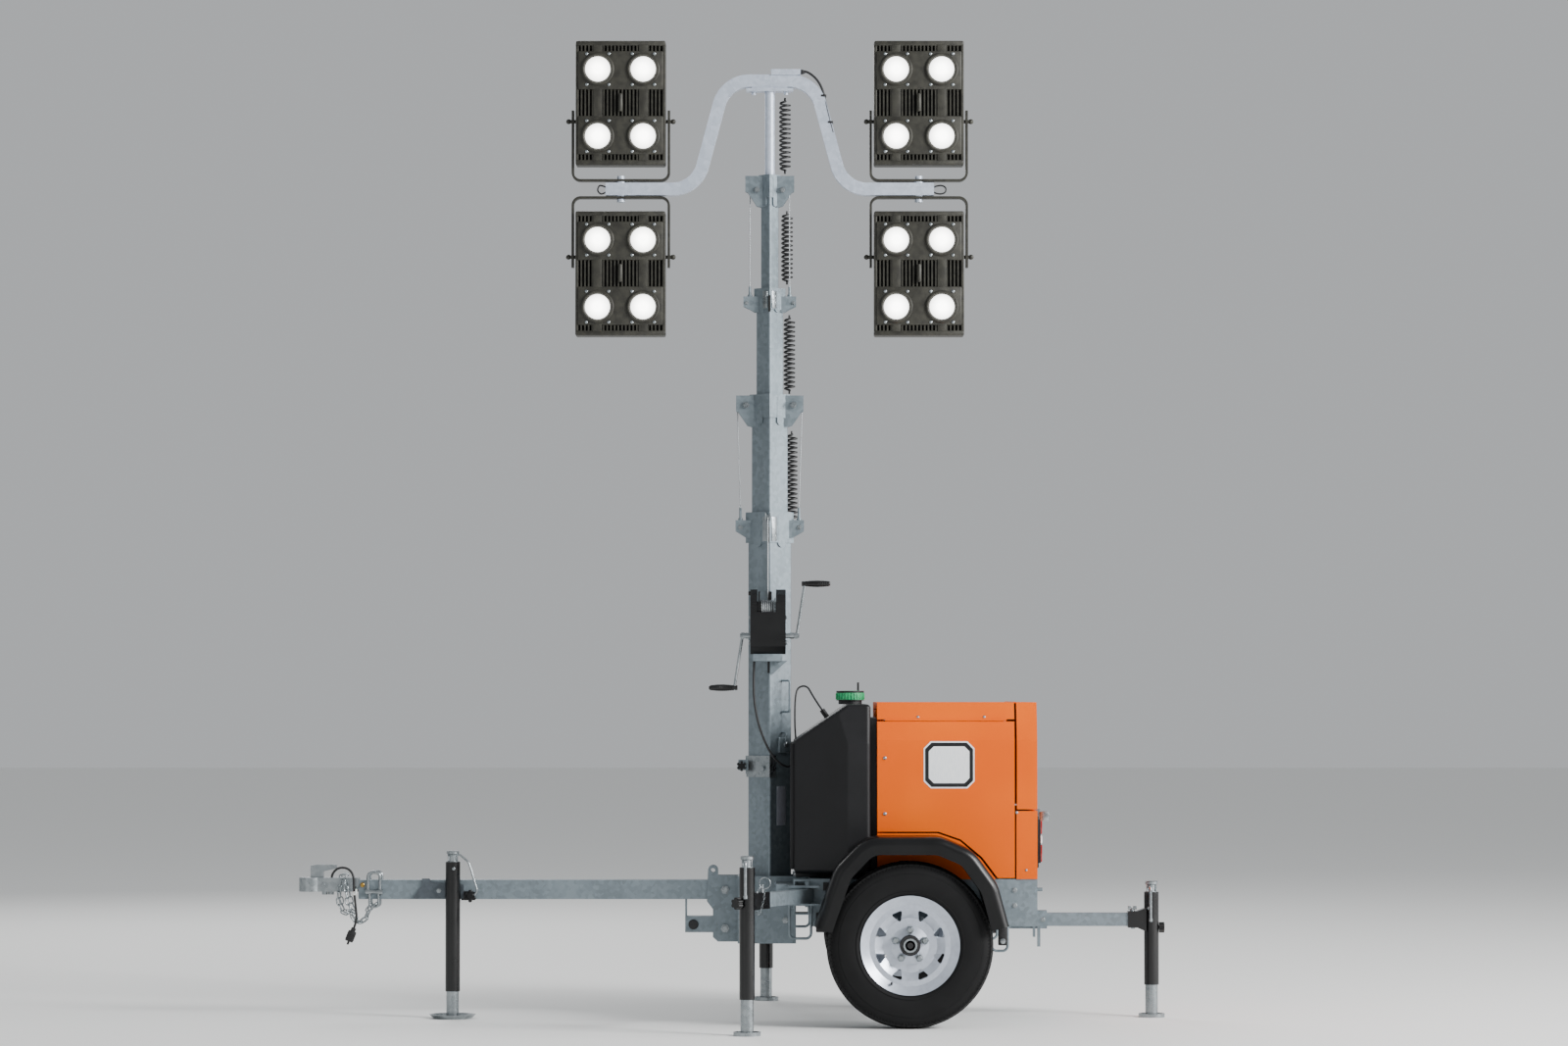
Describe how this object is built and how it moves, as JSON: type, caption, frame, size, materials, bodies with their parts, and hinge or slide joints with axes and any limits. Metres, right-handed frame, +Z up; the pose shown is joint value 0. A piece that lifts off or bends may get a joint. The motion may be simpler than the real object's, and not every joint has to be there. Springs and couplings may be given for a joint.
{
  "type": "towable light tower",
  "caption": "Single-axle trailer with an enclosed generator, hand-wound telescopic mast, tilting lamps and outrigger jacks.",
  "frame": {"origin": "on the ground under the middle of the bounding box, on the trailer's centre line", "axes": "+X to the rear, +Y to the far side (the left side when towed), +Z up; the coupler is at the -X end"},
  "size_m": [3.302, 2.113, 3.729],
  "materials": {
    "galvanised": "hot-dip galvanised",
    "orange_paint": "gloss powder coat",
    "black_plastic": "moulded",
    "tyre": "rubber",
    "rim_silver": "silver paint",
    "black_paint": "gloss black",
    "zinc": "zinc plated",
    "lamp_body": "anodised grey",
    "green_cap": "moulded green",
    "red_lens": "moulded lens",
    "rope_steel": "stranded wire",
    "black_rubber": "cable sheath",
    "engine_block": "painted cast iron"
  },
  "bodies": {
    "trailer": {"chassis": "galvanised", "mast_socket": "galvanised", "drawbar": "galvanised", "coupler": "zinc", "axle": "galvanised", "fender_near": "black_plastic", "fender_far": "black_plastic", "tank": "black_plastic", "filler_cap": "green_cap", "bulkhead": "orange_paint", "arch_panels": "orange_paint", "roof": "orange_paint", "rear_panel": "orange_paint", "engine": "engine_block", "tail_lamps": "red_lens", "jack_tube_front": "black_paint", "tow_cable": "black_rubber", "tow_plug": "black_plastic", "safety_chains": "zinc"},
    "wheel_near": {"tyre_near": "tyre", "rim_near": "rim_silver"},
    "wheel_far": {"tyre_far": "tyre", "rim_far": "rim_silver"},
    "door_near": {"door_near": "orange_paint"},
    "door_far": {"door_far": "orange_paint"},
    "rear_hatch": {"rear_hatch": "orange_paint"},
    "mast_1": {"mast_1": "galvanised", "winch": "black_paint", "rope_lower": "rope_steel", "curly_cord_1": "black_rubber"},
    "mast_2": {"mast_2": "galvanised", "curly_cord_2": "black_rubber"},
    "mast_3": {"mast_3": "galvanised", "rope_upper": "rope_steel", "curly_cord_3": "black_rubber"},
    "mast_4": {"mast_4": "galvanised", "curly_cord_4": "black_rubber"},
    "mast_5": {"mast_5": "galvanised", "lamp_arm": "galvanised"},
    "winch_cranks": {"winch_cranks": "black_paint"},
    "outrigger_near": {"outrigger_near": "galvanised", "jack_tube_side_near": "black_paint"},
    "outrigger_far": {"outrigger_far": "galvanised", "jack_tube_side_far": "black_paint"},
    "rear_beam": {"rear_beam": "galvanised", "jack_tube_rear": "black_paint"},
    "leg_front": {"jack_leg_front": "zinc"},
    "leg_rear": {"jack_leg_rear": "zinc"},
    "leg_side_near": {"jack_leg_side_near": "zinc"},
    "leg_side_far": {"jack_leg_side_far": "zinc"},
    "yoke_left_upper": {"yoke_left_upper": "galvanised"},
    "lamp_left_upper": {"lamp_left_upper": "lamp_body"},
    "yoke_right_upper": {"yoke_right_upper": "galvanised"},
    "lamp_right_upper": {"lamp_right_upper": "lamp_body"},
    "yoke_left_lower": {"yoke_left_lower": "galvanised"},
    "lamp_left_lower": {"lamp_left_lower": "lamp_body"},
    "yoke_right_lower": {"yoke_right_lower": "galvanised"},
    "lamp_right_lower": {"lamp_right_lower": "lamp_body"}
  },
  "joints": [
    {"name": "wheel_near_spin", "type": "hinge", "parent": "trailer", "child": "wheel_near", "pos_m": [0.663, -0.6, 0.307], "axis": [0, 1, 0], "continuous": true},
    {"name": "wheel_far_spin", "type": "hinge", "parent": "trailer", "child": "wheel_far", "pos_m": [0.663, 0.6, 0.307], "axis": [0, 1, 0], "continuous": true},
    {"name": "door_near_swing", "type": "hinge", "parent": "trailer", "child": "door_near", "pos_m": [0.8, -0.428, 1.133], "axis": [-1, 0, 0], "range_deg": [0, 85]},
    {"name": "door_far_swing", "type": "hinge", "parent": "trailer", "child": "door_far", "pos_m": [0.8, 0.428, 1.133], "axis": [1, 0, 0], "range_deg": [0, 85]},
    {"name": "rear_hatch_swing", "type": "hinge", "parent": "trailer", "child": "rear_hatch", "pos_m": [1.062, 0, 1.198], "axis": [0, -1, 0], "range_deg": [0, 80]},
    {"name": "mast_turn", "type": "hinge", "parent": "trailer", "child": "mast_1", "pos_m": [0.145, 0, 0.305], "axis": [0, 0, 1], "range_deg": [-170, 170]},
    {"name": "winch_turn", "type": "hinge", "parent": "mast_1", "child": "winch_cranks", "pos_m": [0.145, -0.15, 1.451], "axis": [1, 0, 0], "continuous": true},
    {"name": "mast_slide_1", "type": "slide", "parent": "mast_1", "child": "mast_2", "axis": [0, 0, 1], "range_m": [-0.295, 0.855], "deforming": ["rope_lower", "curly_cord_1"]},
    {"name": "mast_slide_2", "type": "slide", "parent": "mast_2", "child": "mast_3", "axis": [0, 0, 1], "range_m": [-0.295, 0.855], "deforming": ["curly_cord_2"]},
    {"name": "mast_slide_3", "type": "slide", "parent": "mast_3", "child": "mast_4", "axis": [0, 0, 1], "range_m": [-0.295, 0.855], "deforming": ["rope_upper", "curly_cord_3"]},
    {"name": "mast_slide_4", "type": "slide", "parent": "mast_4", "child": "mast_5", "axis": [0, 0, 1], "range_m": [-0.295, 0.855], "deforming": ["curly_cord_4"]},
    {"name": "yoke_left_upper_pan", "type": "hinge", "parent": "mast_5", "child": "yoke_left_upper", "pos_m": [-0.426, 0, 3.197], "axis": [0, 0, 1], "range_deg": [-90, 90]},
    {"name": "lamp_left_upper_tilt", "type": "hinge", "parent": "yoke_left_upper", "child": "lamp_left_upper", "pos_m": [-0.426, 0, 3.424], "axis": [1, 0, 0], "range_deg": [-90, 90]},
    {"name": "yoke_right_upper_pan", "type": "hinge", "parent": "mast_5", "child": "yoke_right_upper", "pos_m": [0.716, 0, 3.197], "axis": [0, 0, 1], "range_deg": [-90, 90]},
    {"name": "lamp_right_upper_tilt", "type": "hinge", "parent": "yoke_right_upper", "child": "lamp_right_upper", "pos_m": [0.716, 0, 3.424], "axis": [1, 0, 0], "range_deg": [-90, 90]},
    {"name": "yoke_left_lower_pan", "type": "hinge", "parent": "mast_5", "child": "yoke_left_lower", "pos_m": [-0.426, 0, 3.131], "axis": [0, 0, 1], "range_deg": [-90, 90]},
    {"name": "lamp_left_lower_tilt", "type": "hinge", "parent": "yoke_left_lower", "child": "lamp_left_lower", "pos_m": [-0.426, 0, 2.903], "axis": [1, 0, 0], "range_deg": [-90, 90]},
    {"name": "yoke_right_lower_pan", "type": "hinge", "parent": "mast_5", "child": "yoke_right_lower", "pos_m": [0.716, 0, 3.131], "axis": [0, 0, 1], "range_deg": [-90, 90]},
    {"name": "lamp_right_lower_tilt", "type": "hinge", "parent": "yoke_right_lower", "child": "lamp_right_lower", "pos_m": [0.716, 0, 2.903], "axis": [1, 0, 0], "range_deg": [-90, 90]},
    {"name": "outrigger_near_swing", "type": "hinge", "parent": "trailer", "child": "outrigger_near", "pos_m": [0.287, -0.5, 0.483], "axis": [0, 0, 1], "range_deg": [-66, 20]},
    {"name": "outrigger_far_swing", "type": "hinge", "parent": "trailer", "child": "outrigger_far", "pos_m": [0.287, 0.5, 0.483], "axis": [0, 0, -1], "range_deg": [-72, 20]},
    {"name": "rear_beam_slide", "type": "slide", "parent": "trailer", "child": "rear_beam", "axis": [1, 0, 0], "range_m": [-0.3, 0.1]},
    {"name": "leg_front_slide", "type": "slide", "parent": "trailer", "child": "leg_front", "axis": [0, 0, 1], "range_m": [-0.15, 0.08]},
    {"name": "leg_rear_slide", "type": "slide", "parent": "rear_beam", "child": "leg_rear", "axis": [0, 0, 1], "range_m": [-0.15, 0.08]},
    {"name": "leg_side_near_slide", "type": "slide", "parent": "outrigger_near", "child": "leg_side_near", "axis": [0, 0, 1], "range_m": [-0.15, 0.08]},
    {"name": "leg_side_far_slide", "type": "slide", "parent": "outrigger_far", "child": "leg_side_far", "axis": [0, 0, 1], "range_m": [-0.15, 0.08]}
  ],
  "couplings": [
    {"joint": "mast_slide_2", "follows": "mast_slide_1", "ratio": 1},
    {"joint": "mast_slide_3", "follows": "mast_slide_1", "ratio": 1},
    {"joint": "mast_slide_4", "follows": "mast_slide_1", "ratio": 1}
  ]
}
